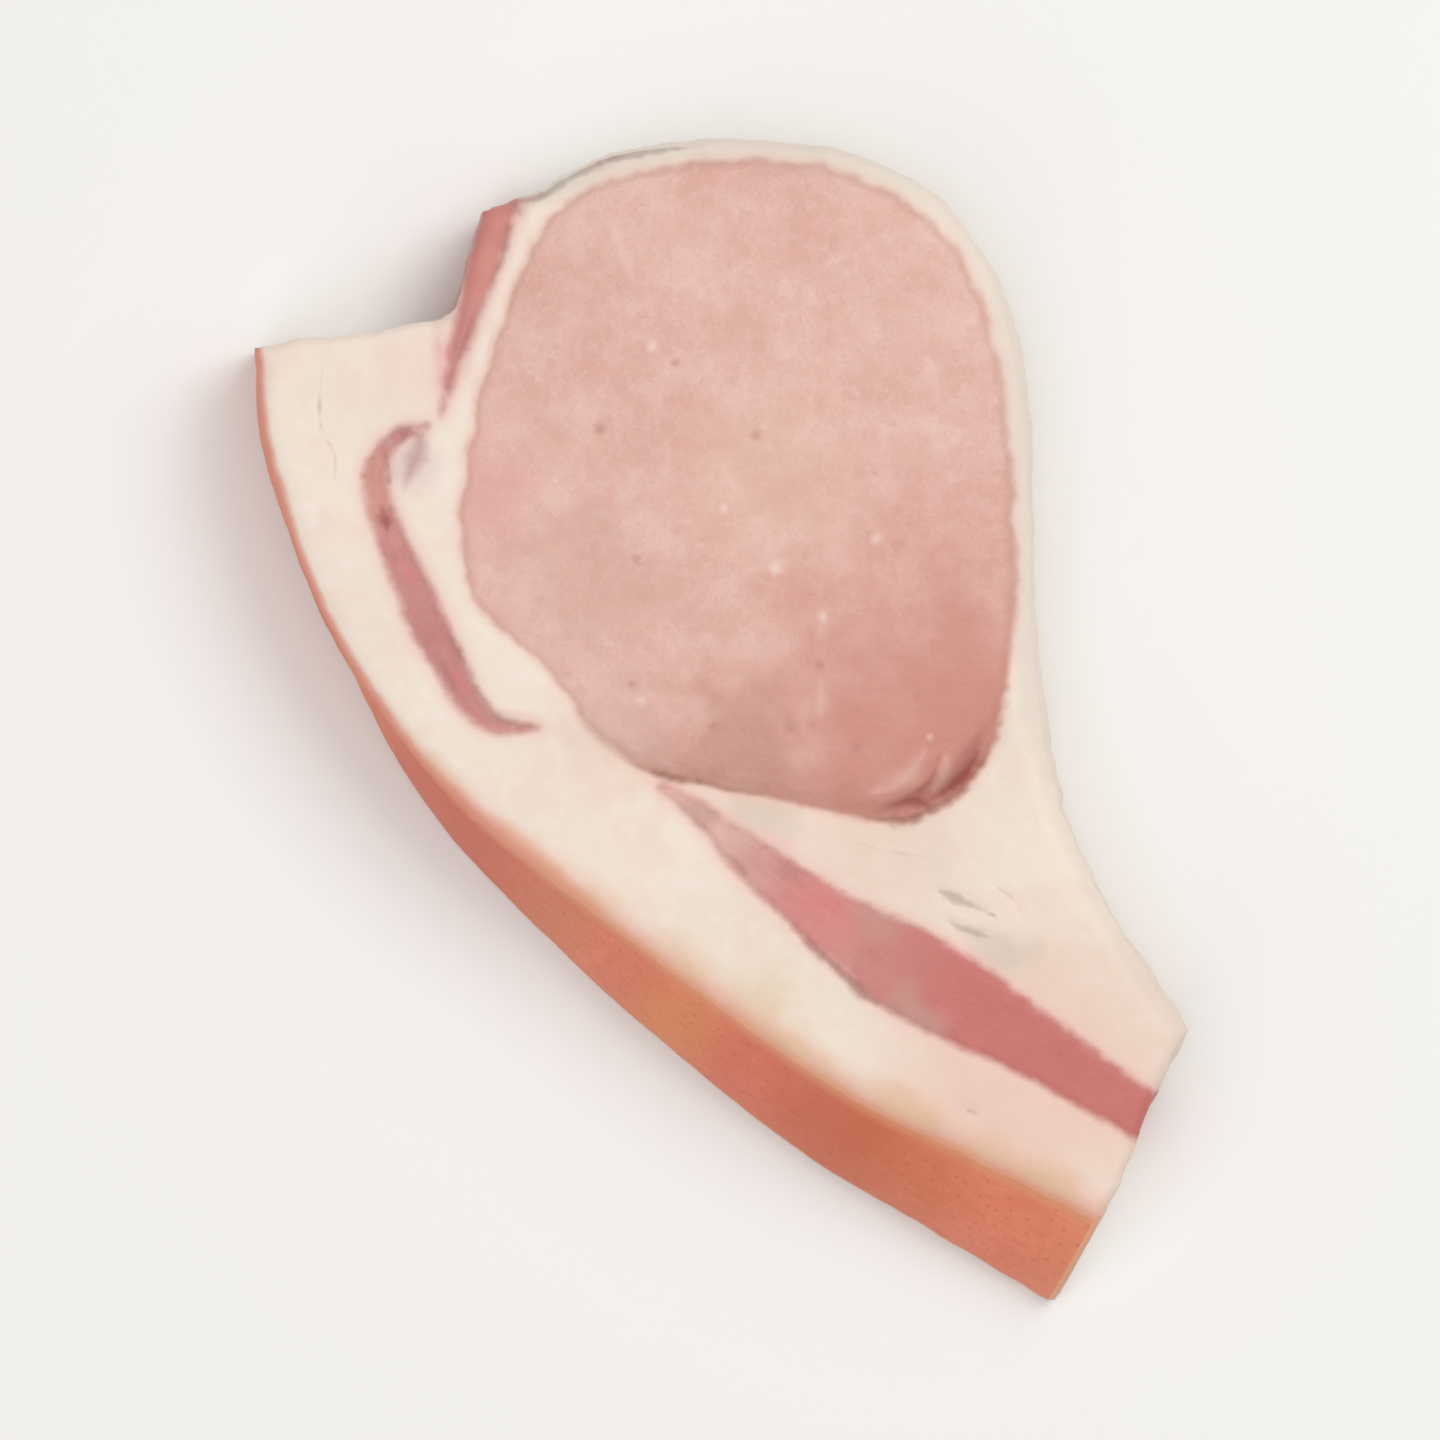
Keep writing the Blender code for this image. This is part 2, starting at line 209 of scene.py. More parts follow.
def beside(xy, streak):
    """How deep each point lies in a streak, its signed distance across it, and how far along it is."""
    line = spline(streak, STREAK_STEP)
    gap, at = nearest(xy, line, False)
    i = np.minimum(at.astype(int), len(line) - 2)
    along = line[i + 1, :2] - line[i, :2]
    away = xy[:, :2] - line[i, :2]
    side = np.sign(away[:, 0] * along[:, 1] - away[:, 1] * along[:, 0])
    half = np.interp(at, np.arange(len(line)), line[:, 2])
    return np.column_stack([half - gap, side * gap, at * np.hypot(*along.T)])


eye_line = spline(EYE, EYE_STEP, closed=True)[:-1]
eye_out = outward_side(eye_line)
# Its edge is uneven, less so where it rolls over the crease.
calm = 1 - 0.75 * ramp(eye_line[:, 1], CREASE_TOP, CREASE_FULL)
uneven = 0.35 * ripple(eye_line, 3.5, 2.0) + 0.15 * ripple(eye_line, 1.2, 6.0)
eye_line = eye_line + eye_out * (calm * uneven)[:, None]


def eye_depth(xy):
    """How deep a point lies within the eye of meat, in millimetres; negative outside it."""
    gap, _ = nearest(xy, eye_line, True)
    return np.where(inside(xy, eye_line), gap, -gap)


# ==== Fine marks in the cut face ==================================================================
# Folds, membranes and hairlines show as thin lines; small vessels, and flecks of fat between the
# bundles of fibres, show as dots.

# Each kind of mark has a softness, a strength, a colour and its strokes. A stroke says how far it is
# sunk, and has points as a streak's. Membranes are thin grey-brown skins in the fat, brown edges
# have dried, nicks are dark cuts, and the fold's sunk creases are darkened with painted shade.
# Mauve marks are painted shade under the hook's curl and darken the upper edge in two places,
# rosy tissue has held blood, glints are painted highlights on wet edges, pale lines are fat
# between bundles of fibres and, in the fold, raised lips painted paler as highlights, and veins
# and flecks are hairlines and dots.
MARKS = {
    "membrane": (0.45, 0.65, "#AFA08F", [
        (0.12, ((-49.7, 47.3, -0.15), (-50.2, 37.6, -0.1), (-48.4, 33.4, -0.1), (-48.4, 30.1, -0.2))),
        (0.15, ((-24.9, 65.2, 0.1), (-22.6, 65.7, 0.4), (-20.4, 67.2, 0.5), (-17.4, 68.9, 0.4),
                (-14.5, 70.2, 0.2), (-11.4, 71.1, 0.5), (-7.0, 71.7, 0.4), (-2.5, 72.1, -0.1))),
        (0.45, ((27.6, -21.6, 0.2), (28.6, -21.9, 0.5), (30.9, -22.9, 0.4), (34.4, -24.6, 0.0))),
        (0.40, ((28.4, -25.1, 0.1), (30.4, -26.2, 0.4), (33.6, -27.2, 0.0))),
        (0.30, ((34.0, -20.5, -0.2), (36.6, -22.4, 0.0), (38.4, -25.4, -0.3))),
        (0.20, ((14.0, -14.6, -0.4), (20.0, -16.2, -0.1), (27.0, -17.4, -0.2), (33.0, -17.6, -0.4))),
        (0.30, ((31.3, -49.1, 0.2), (31.9, -49.3, 0.2)))]),
    "brown": (0.7, 0.65, "#A5736A", [
        (0.25, ((9.0, -26.3, 0.1), (12.2, -29.1, 0.5), (15.1, -31.7, 0.3), (17.0, -33.7, 0.6),
                (18.4, -34.8, 0.4), (19.8, -35.6, 0.0))),
        (0.15, ((0.9, -17.0, 0.0), (2.2, -18.0, 0.3), (3.2, -19.4, 0.0))),
        (0.15, ((-42.2, 34.0, 0.0), (-41.7, 32.0, 0.2), (-41.5, 30.0, 0.0))),
        (0.10, ((-25.0, 65.1, 0.1), (-23.6, 65.4, 0.5), (-21.8, 66.2, 0.1))),
        (0.10, ((-26.6, 62.6, 0.0), (-27.0, 60.4, 0.4), (-27.5, 58.0, 0.3), (-28.7, 55.2, 0.0))),
        (0.10, ((-31.2, 50.0, -0.1), (-32.9, 46.0, 0.1), (-34.3, 41.6, 0.0))),
        (0.15, ((-34.2, 10.2, 0.0), (-33.0, 8.8, 0.2), (-32.1, 7.2, 0.0))),
        (0.15, ((-31.3, 4.6, 0.0), (-29.4, 2.2, 0.3), (-27.7, 0.1, 0.4), (-25.4, -0.6, 0.2),
                (-23.8, -0.9, 0.0))),
        (0.10, ((-35.0, 7.2, 0.0), (-34.0, 5.2, 0.2), (-33.0, 3.6, 0.0)))]),
    "gash": (0.8, 0.8, "#93463F", [
        # The first three are the fold's sunk creases, darkened with painted shade; the last is a nick.
        (0.30, ((21.6, -10.8, -0.2), (23.4, -10.2, 0.4), (24.8, -10.1, 0.4), (26.2, -10.9, 0.2))),
        (0.30, ((27.0, -9.8, 0.0), (29.2, -8.2, 0.8), (30.8, -6.9, 0.9), (32.4, -4.2, 0.0))),
        (0.20, ((24.2, -9.2, -0.3), (26.2, -7.8, 0.0), (27.1, -5.9, 0.1), (27.5, -4.4, -0.3))),
        (0.10, ((-42.6, 27.2, -0.2), (-42.1, 25.4, 0.7), (-41.8, 23.6, -0.1)))]),
    "mauve": (1.1, 0.7, "#B78A89", [
        # Painted shade under the hook's curl.
        (0.10, ((-38.9, 36.3, -0.1), (-37.6, 35.4, 0.7), (-38.0, 33.4, 1.1), (-38.9, 31.2, 0.5),
                (-39.6, 28.8, -0.5))),
        # Two darker marks along the upper edge.
        (0.05, ((-16.2, 69.8, -0.1), (-14.6, 70.4, 0.5), (-12.6, 71.0, 0.0))),
        (0.05, ((-25.8, 64.8, 0.1), (-25.2, 63.7, 0.6), (-25.4, 62.8, 0.0)))]),
    "rosy": (1.1, 0.45, "#DA7478", [
        (0.05, ((-35.9, 50.0, -0.1), (-35.3, 47.0, 0.5), (-35.1, 44.0, 0.3), (-35.6, 41.2, -0.3))),
        (0.05, ((-33.7, 7.3, -0.1), (-33.0, 5.4, 0.3), (-32.1, 3.6, -0.1))),
        (0.05, ((-39.7, 20.0, -0.2), (-39.2, 18.4, 0.5), (-38.4, 16.6, -0.2))),
        (0.05, ((26.4, -35.6, -0.2), (28.6, -36.4, 0.6), (30.4, -37.8, -0.1))),
        (0.05, ((11.0, -21.6, -0.2), (13.0, -22.8, 0.6), (15.2, -24.6, 0.0)))]),
    "glint": (0.8, 0.55, "#F4BFBA", [
        # Painted highlights where wet edges catch the light.
        (-0.10, ((-1.4, -12.9, -0.1), (-0.5, -13.9, 0.4), (0.3, -14.8, 0.0))),
        (-0.10, ((-6.6, -8.9, -0.2), (-4.0, -9.6, 0.1), (-1.9, -10.9, -0.2))),
        (-0.10, ((4.8, -14.6, -0.1), (7.2, -15.0, 0.4), (9.6, -16.0, 0.0))),
        (-0.10, ((28.0, -28.3, -0.2), (29.8, -28.6, 0.3), (31.4, -30.0, 0.0))),
        (-0.10, ((12.6, -28.4, -0.2), (14.8, -30.4, 0.1), (17.0, -32.4, -0.1))),
        (-0.10, ((-35.9, 17.0, -0.2), (-35.0, 14.4, 0.3), (-33.6, 11.6, -0.2))),
        (-0.10, ((-27.2, 1.2, -0.2), (-25.6, 0.8, 0.2), (-23.4, 0.4, -0.2)))]),
    "pale": (1.2, 0.38, "#EFCFC4", [
        # The first two are the fold's raised lips, painted paler as highlights.
        (-0.25, ((18.4, -9.4, -0.1), (20.7, -8.7, 0.6), (23.1, -7.5, 0.9), (24.6, -5.8, 0.8),
                 (25.6, -4.0, 0.0))),
        (-0.25, ((26.9, -8.8, -0.2), (27.7, -7.7, 0.3), (28.4, -6.2, 0.6), (28.6, -5.0, 0.1))),
        (-0.05, ((-13.4, 62.4, 0.0), (-12.5, 59.0, 0.5), (-11.2, 55.4, 0.0))),
        (-0.05, ((12.6, 5.0, -0.2), (12.8, 2.4, 0.2), (12.5, 0.4, -0.2))),
        (-0.05, ((12.3, 13.6, -0.2), (13.0, 12.1, 0.1), (12.5, 10.6, -0.2))),
        (-0.05, ((0.7, 32.3, -0.2), (1.1, 30.1, 0.2), (2.6, 28.6, 0.0), (3.3, 26.8, -0.2))),
        (-0.05, ((5.9, 36.9, -0.1), (6.3, 35.2, 0.2), (5.7, 33.4, -0.2))),
        (-0.05, ((-6.6, 25.3, -0.3), (-4.4, 24.9, 0.0), (-2.6, 23.5, -0.3))),
        (-0.05, ((2.0, 25.3, -0.3), (3.3, 24.6, 0.1), (5.1, 25.1, 0.1), (6.8, 25.5, -0.2))),
        (-0.05, ((2.6, 17.6, -0.2), (4.2, 18.9, 0.1), (5.9, 19.4, 0.2), (8.1, 18.5, 0.1))),
        (-0.05, ((-13.0, 3.3, -0.2), (-11.2, 2.4, 0.2), (-8.8, 2.9, 0.0))),
        (-0.05, ((-11.0, 48.4, -0.3), (-9.0, 48.0, 0.0), (-8.2, 46.0, 0.1))),
        (-0.05, ((-20.5, 9.7, -0.3), (-20.2, 7.5, -0.1)))]),
    "vein": (0.6, 0.6, "#BC8379", [
        (0.05, ((-11.7, 21.3, -0.2), (-10.7, 19.8, 0.1), (-9.6, 19.5, -0.2))),
        (0.05, ((14.3, 14.7, -0.3), (14.6, 13.0, 0.0), (14.4, 11.5, -0.3))),
        (0.05, ((-13.2, 55.4, -0.3), (-12.6, 54.0, 0.0), (-11.7, 53.0, -0.3)))]),
    "fleck": (0.6, 0.65, "#F2D8CC", [])}
# Dots are short strokes: how far they are sunk, and the x, y and radius of each.
DOTS = {
    "vein": (0.2, (
        (-44.6, 30.5, 0.3), (-15.1, 36.4, 0.6), (4.5, 35.7, 0.4), (-5.7, 44.8, 0.35), (-10.5, 20.3, 0.3),
        (12.5, 6.8, 0.35), (-11.0, 4.5, 0.3), (8.8, -1.0, 0.8), (11.8, -0.6, 0.3), (17.2, -3.4, 0.6),
        (-0.8, -0.8, 0.4), (19.4, 30.9, 0.35), (24.6, 3.0, 0.3))),
    "fleck": (-0.12, (
        (-8.6, 46.8, 0.5), (6.8, 18.9, 0.7), (12.9, 13.0, 0.5), (19.6, 22.7, 0.5), (-9.9, 2.4, 0.6),
        (26.3, -2.2, 0.2), (5.5, 36.8, 0.3), (0.5, 26.5, 0.4), (-20.5, 30.0, 0.3), (-30.4, 43.8, 1.0)))}
for kind, (sunk, dots) in DOTS.items():
    MARKS[kind][3].extend((sunk, ((x - 0.05, y, r), (x + 0.05, y, r))) for x, y, r in dots)


# ==== The cut slice ===============================================================================
# One piece of meat, as the knife left it: the eye swells a little and rolls over the fat at its
# lower edge, muscle and fat part in fine grooves, the hook of lean has sunk round an open vessel,
# and the underside is pressed flat.

MM = 0.001
# The upper face: its heights and depths, and how far each of them reaches.
THICKNESS = 18.0
TAIL_THINNING = 2.2
TAIL_THINS = (40.0, 115.0)
EYE_DOME = 1.5
EYE_SWELL = 9.0
EYE_ROLL = 1.3
ROLL_WIDTH = 5.0
CREASE_DROP = 1.4
CREASE_REACH = 9.0
CREASE_LIP = 0.8
SEAM_DEPTH = 0.35
SEAM_WIDTH = 0.6
STREAK_SEAM_DEPTH = 0.2
STREAK_SEAM_WIDTH = 0.5
VESSEL_DEPTH = 1.4
VESSEL_RADIUS = 0.9
SURFACE_WAVE = 0.35
# Finer unevenness: its height, the size of its features, and a seed.
STREAK_UNEVEN = (0.25, 3.0, 7.0)
FACE_UNEVEN = ((0.16, 8.0, 3.0), (0.07, 3.0, 5.0))
LEAN_UNEVEN = (0.04, 1.3, 8.0)
# The sides: slow waves round them, fine grooves that the knife left, and how far what shows on them
# is shifted at the underside, wanders, spreads or fades on the way down.
SIDE_WAVE = 0.3
SIDE_WAVES = 9
KNIFE_GROOVE = 0.10
UNDERSIDE_SHIFT = (0.9, -0.7)
PATTERN_DRIFT = (11.0, -8.0)
SIDE_WOBBLE = 1.1
STREAK_SPREAD = 0.7
MARK_FADE = 12
# The eye's lean stops this far from the loin's edge, at the silverskin.
SILVERSKIN = 1.0
# The mesh: the spacing of its points, its rings in from the edge and down the side, and its lines
# along the edge of the eye, by their distance outside it.
TOP_STEP = 0.62
FOOT_STEP = 1.2
MARK_STEP = 0.45
EDGE_RINGS = (0.12, 0.3, 0.55, 0.9, 1.4, 2.0, 2.7)
FOOT_RINGS = (0.15, 0.4, 0.8, 1.5, 2.4)
SIDE_RINGS = 24
EYE_LINES = (-0.9, -0.4, 0.0, 0.3, 0.6, 1.0)


def soft_edge(xy, line, widths, depths):
    """How far a rounded edge falls away at each point, by its distance from the edge."""
    gap, at = nearest(xy, line, True)
    at = at.astype(int) % len(line)
    return depths[at] * np.clip(1 - gap / widths[at], 0.0, 1.0)**2


def relief(xy):
    """Height of the upper face above the board, before its edges are rounded."""
    x, y = xy.T[:2]
    eye = eye_depth(xy)
    within = np.clip(eye, 0, None)
    outside = np.clip(-eye, 0, None)
    crease = ramp(y, CREASE_TOP, CREASE_FULL)
    height = THICKNESS - TAIL_THINNING * ramp(x - y, *TAIL_THINS)
    height += np.where(eye > 0, EYE_DOME * (1 - np.exp(-within / EYE_SWELL)), 0.0)
    height -= np.where(eye > 0, EYE_ROLL * crease * np.clip(1 - within / ROLL_WIDTH, 0, 1)**2, 0.0)
    dip = (EYE_ROLL + CREASE_DROP * ramp(outside, 0.0, CREASE_LIP)) * np.exp(-outside / CREASE_REACH)
    height -= np.where(eye > 0, 0.0, crease * dip)
    height -= SEAM_DEPTH * np.exp(-(eye / SEAM_WIDTH)**2)
    uneven, size, seed = STREAK_UNEVEN
    for streak, lift in STREAKS.values():
        depth = beside(xy, streak)[:, 0] + uneven * ripple(xy, size, seed)
        height += lift * ramp(depth, -0.3, 0.8)
        height -= STREAK_SEAM_DEPTH * np.exp(-(depth / STREAK_SEAM_WIDTH)**2)
    for _, _, _, strokes in MARKS.values():
        for sunk, line in strokes:
            height -= sunk * ramp(beside(xy, line)[:, 0], -0.9, 0.3)
    height -= VESSEL_DEPTH * np.exp(-(np.hypot(x - VESSEL[0], y - VESSEL[1]) / VESSEL_RADIUS)**2)
    # Two slow waves cross the face, the first some 60 mm long, the second 45 mm.
    height += SURFACE_WAVE * (np.sin(x / 9.5 + y / 21.0) + 0.6 * np.sin(y / 7.5 - x / 17.0 + 1.0)) / 1.6
    for uneven, size, seed in FACE_UNEVEN:
        height += uneven * ripple(xy, size, seed)
    uneven, size, seed = LEAN_UNEVEN
    return height + uneven * ripple(xy, size, seed) * ramp(eye, -0.5, 1.0)


def plan_mesh(line, out, rings, drawn, step):
    """Triangles that fill a line, with rings of points inside it, drawn lines and an even grid.

    Points that would crowd the line, a ring or a drawn line are left out.
    """
    points = [line]
    for ring in rings:
        moved = line - ring * out
        keep = (nearest(moved, line, True)[0] > 0.9 * ring) & inside(moved, line)
        points.append(moved[keep])
    for other in drawn:
        keep = inside(other, line) & (nearest(other, line, True)[0] > rings[-1] + 0.3)
        points.append(other[keep])
    # Columns a little closer than rows make nearly equal triangles.
    columns = np.arange(line[:, 0].min(), line[:, 0].max(), step * 0.866)
    rows = np.arange(line[:, 1].min(), line[:, 1].max(), step)
    grid = np.array([(x, y + step / 2 * (i % 2)) for i, x in enumerate(columns) for y in rows])
    grid = grid[inside(grid, line)]
    grid = grid[nearest(grid, line, True)[0] > rings[-1] + 0.6 * step]
    for other in drawn:
        grid = grid[nearest(grid, other, False)[0] > 0.45 * step]
    points = np.vstack(points + [grid])
    rim = list(range(len(line)))
    coords, _, faces, _, _, _ = delaunay_2d_cdt([Vector(p) for p in points], [], [rim], 1, 1e-5)
    return np.array([tuple(p) for p in coords]), [tuple(face) for face in faces]


drawn = [eye_line + gap * eye_out for gap in EYE_LINES]
for _, _, _, strokes in MARKS.values():
    drawn += [spline(line, MARK_STEP)[:, :2] for _, line in strokes]
top, top_faces = plan_mesh(edge, edge_out, EDGE_RINGS, drawn, TOP_STEP)
base, base_faces = plan_mesh(foot, edge_out, FOOT_RINGS, [], FOOT_STEP)
top_z = relief(top) - soft_edge(top, edge, top_width, top_fall)
base_z = soft_edge(base, foot, foot_width, foot_fall)

# Rings of points down the side join the upper face to the underside.
count = len(edge)
points = [np.column_stack([top, top_z])]
levels = [np.zeros(len(top))]
from_rind = [nearest(top, edge[:rind_count], False)[0]]
rings = [np.arange(count)]
side_wave = SIDE_WAVE * np.sin(np.arange(count) * 2 * np.pi * SIDE_WAVES / count)
grooves = KNIFE_GROOVE * ripple(edge, 1.1, 12.0) * ramp(raggedness, 0.1, 0.2)
for step in range(1, SIDE_RINGS):
    level = step / SIDE_RINGS
    bulge = side_bulge + side_wave + 0.6 * raggedness * ripple(edge + (0, 40 * level), 4.0, 1.0)
    bulge = bulge * np.sin(np.pi * level) + grooves * min(1, 6 * level, 6 * (1 - level))
    ring = edge + foot_shift * (1 - (1 - level)**RIND_CONVEX) + edge_out * bulge[:, None]
    height = top_z[:count] * (1 - level) + base_z[:count] * level
    rings.append(sum(map(len, points)) + np.arange(count))
    points.append(np.column_stack([ring, height]))
    levels.append(np.full(count, level))
    from_rind.append(nearest(ring, ring[:rind_count], False)[0])
first = sum(map(len, points))
rings.append(first + np.arange(count))
points.append(np.column_stack([base, base_z]))
levels.append(np.ones(len(base)))
from_rind.append(nearest(base, foot[:rind_count], False)[0])
points, levels = np.vstack(points), np.concatenate(levels)
faces = top_faces + [tuple(first + i for i in reversed(face)) for face in base_faces]
cut_faces = len(faces)
for upper, lower in zip(rings, rings[1:]):
    for i in range(count):
        j = (i + 1) % count
        faces.append((upper[i], lower[i], lower[j], upper[j]))

mesh = bpy.data.meshes.new("chop")
mesh.from_pydata([tuple(p) for p in points * MM], [], [tuple(map(int, face)) for face in faces])
chop = bpy.data.objects.new("chop", mesh)
bpy.context.scene.collection.objects.link(chop)
mesh.shade_smooth()
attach(chop, "root")
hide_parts("pork_chop")

# What the materials read at each point, three measures to an attribute: how deep it lies in the
# eye, in the crease's painted brown shade line, in a streak, in the fold and in each kind of mark;
# its place across and along a streak; how far it is from the rind and from the loin's edge; how far
# the rind slants out there; how far down the side it is, from 0 to 1 and in millimetres, and how far
# round the rind; and two uneven patterns.
down = levels * THICKNESS
wobble = SIDE_WOBBLE * ripple(np.column_stack([points[:, 0] + points[:, 1], down]), 6.0, 30.0)
plan = points[:, :2] + np.outer(levels, UNDERSIDE_SHIFT) + (wobble * ramp(levels, 0.0, 0.2))[:, None]
drift = plan + np.outer(levels, PATTERN_DRIFT)
_, at_rind = nearest(points, edge[:rind_count], False)
streaks = np.stack([beside(plan, STREAKS[name][0]) for name in ("cap", "hook", "tail")])
streaks = streaks[streaks[..., 0].argmax(0), np.arange(len(plan))]
eye = eye_depth(plan)
# Over the crease the lean laps past its own outline, and a brown line of painted shade lies
# half a millimetre out, deepening the crease's own shadow; where there is no crease, the line's
# depth is set far below zero.
creased = ramp(plan[:, 1], 3.0, -3.0) * ramp(plan[:, 0], -14.0, -9.0)
crease_shade_line = np.interp(plan[:, 0], *zip(*CREASE_SHADE_LINE)) - abs(eye + 0.5)
loin, _ = nearest(points, edge[loin_start:loin_start + loin_count], False)
measures = {
    "eye": np.minimum(eye + CREASE_LIP * creased, loin - SILVERSKIN),
    "rind": np.concatenate(from_rind),
    "crease": np.where(creased > 0, crease_shade_line, -9.0),
    "streak": streaks[:, 0] + STREAK_SPREAD * ramp(levels, 0.0, 0.15),
    "across": streaks[:, 1],
    "along": streaks[:, 2],
    "loin": loin,
    "slant": slant[:rind_count][np.clip(at_rind.astype(int), 0, rind_count - 1)],
    "fold": beside(plan, STREAKS["fold"][0])[:, 0],
    "level": levels,
    "round": at_rind * OUTLINE_STEP,
    "down": down,
    "broad": ripple(drift, 20.0, 21.0),
    "blotch": 0.7 * ripple(drift, 6.5, 22.0) + 0.3 * ripple(drift, 2.8, 23.0)}
fading = MARK_FADE * np.sin(np.pi * levels)
for kind, (_, _, _, strokes) in MARKS.items():
    measures[kind] = np.max([beside(plan, line)[:, 0] for _, line in strokes], axis=0) - fading
TRIOS = [list(measures)[i:i + 3] for i in range(0, len(measures), 3)]
for trio in TRIOS:
    columns = [measures[name] for name in trio] + [np.zeros(len(points))] * (3 - len(trio))
    made = mesh.attributes.new("_".join(trio), "FLOAT_VECTOR", "POINT")
    made.data.foreach_set("vector", np.column_stack(columns).ravel().astype(np.float32))


# ==== Raw lean and fat ============================================================================
# Fresh pork, cut with a knife and left moist, so it has a soft wet sheen and light sinks in a
# little. Lean is dusty pink with bundles of fibres seen end on; fat is ivory and waxy, pinker where
# it meets lean and golden under the rind.

def srgb(code):
    """Linear colour, with alpha, of an sRGB hex value."""
    parts = [int(code[i:i + 2], 16) / 255 for i in (1, 3, 5)]
    return [c / 12.92 if c <= 0.04045 else ((c + 0.055) / 1.055)**2.4 for c in parts] + [1.0]


def add(tree, kind, inputs=(), out=0, **settings):
    """Adds a node with its settings; an input that is a socket is linked. Gives an output socket."""
    made = tree.nodes.new("ShaderNode" + kind)
    for name, value in settings.items():
        setattr(made, name, value)
    for name, value in dict(inputs).items():
        if isinstance(value, bpy.types.NodeSocket):
            tree.links.new(value, made.inputs[name])
        else:
            made.inputs[name].default_value = value
    return made.outputs[out]


raw = bpy.data.materials.new("raw_lean_and_fat")
raw.use_nodes = True
tree = raw.node_tree
shader = tree.nodes["Principled BSDF"]
place = add(tree, "TexCoord", out=3)
place = add(tree, "VectorMath", {0: place, 1: (1 / MM, 1 / MM, 1 / MM)}, operation="MULTIPLY")
flat = add(tree, "VectorMath", {0: place, 1: (1, 1, 0)}, operation="MULTIPLY")
# Fibres run through the slice, so patterns are drawn out along it.
grain = add(tree, "VectorMath", {0: place, 1: (1, 1, 0.15)}, operation="MULTIPLY")
rightward = add(tree, "SeparateXYZ", {0: place})
mark = {}
for trio in TRIOS:
    packed = add(tree, "Attribute", attribute_name="_".join(trio), out=1)
    mark.update(zip(trio, add(tree, "SeparateXYZ", {0: packed}).node.outputs))

# Finer uneven patterns, by the size of their features in millimetres.
cloud = {}
for size, detail in ((2.4, 1), (0.9, 1), (0.4, 0)):
    settings = {"Vector": grain, "Scale": 1 / size, "Detail": detail, "Roughness": 0.6}
    cloud[size] = add(tree, "TexNoise", settings)
wander = add(tree, "Mix", {0: 0.2, 2: cloud[2.4], 3: cloud[0.9]}, data_type="FLOAT")
wander = add(tree, "Math", {0: wander, 1: 0.5}, operation="SUBTRACT")
# Bundles of fibres, seen end on: each has its own shade, and a paler wall. Real ones are about 1 mm
# across; they are drawn coarser, so that they show.
BUNDLE_WIDTH = 1.6
walls = add(tree, "TexVoronoi", {"Vector": grain, "Scale": 1 / BUNDLE_WIDTH, "Randomness": 1.0})
bundles = add(tree, "SeparateXYZ", {0: walls.node.outputs["Color"]})
# Fibres of the streaks lie along them: fine lines, which are drawn coarser too.
FIBRE_SPACING = 0.7
FIBRE_LENGTH = 8
fibres = add(tree, "CombineXYZ", {0: mark["across"], 1: mark["along"]})
fibres = add(tree, "VectorMath", {0: fibres, 1: (1 / FIBRE_SPACING, 1 / FIBRE_LENGTH, 1)},
             operation="MULTIPLY")
fibres = add(tree, "TexNoise", {"Vector": fibres, "Scale": 1.0, "Detail": 1}, noise_dimensions="2D")

# How far each muscle and kind of mark reaches: its unevenness, softness and strength.
mask = {}
borders = {
    "eye": (1.3, 0.65, 1.0), "streak": (1.2, 0.75, 1.0), "fold": (1.6, 0.7, 1.0),
    "crease": (1.6, 0.7, 0.75)}
borders.update({kind: (1.4, soft, strength) for kind, (soft, strength, _, _) in MARKS.items()})
for name, (ragged, soft, strength) in borders.items():
    reach = add(tree, "Math", {0: wander, 1: ragged, 2: mark[name]}, operation="MULTIPLY_ADD")
    limits = {"Value": reach, "From Min": -soft, "From Max": soft, "To Max": strength}
    mask[name] = add(tree, "MapRange", limits, interpolation_type="SMOOTHSTEP")
# Distances from named spots, which are tinted: the place of each, and how uneven it is.
spot = {}
for name, x, y, uneven in (
        ("fold", 31, -6, 4), ("eye_left", -34, 30, 4), ("eye_foot", -13, -1, 4), ("low", 3, -3, 4),
        ("eye_gold", 6, 31, 4), ("eye_grey", -17, 18, 4), ("curl", -39.2, 31.6, 2),
        ("cap_side", -37.5, 44, 4), ("shade_under_crease", 4.5, -12, 3), ("shade_under_eye", 18, -17, 4),
        ("tail_tip", 38, -46, 4), ("tail_grey", 34.5, -29.5, 3), ("tail_start", -5, -10, 2),
        ("tail_oval", -2.4, -11.8, 1), ("tail_pink", 13, -23, 3), ("tail_upper", 20, -24, 1),
        ("tail_under", 24.2, -38.4, 2), ("cap_top", -28.5, 60, 4), ("wide_skin", -24, -16, 3),
        ("fat_gold", 4.5, -36, 3), ("hook_top", -43, 30, 3), ("hook_low", -36, 11, 4),
        ("vessel", *VESSEL, 2)):
    distance = add(tree, "VectorMath", {0: flat, 1: (x, y, 0)}, out=1, operation="DISTANCE")
    spot[name] = add(tree, "Math", {0: mark["blotch"], 1: uneven, 2: distance}, operation="MULTIPLY_ADD")

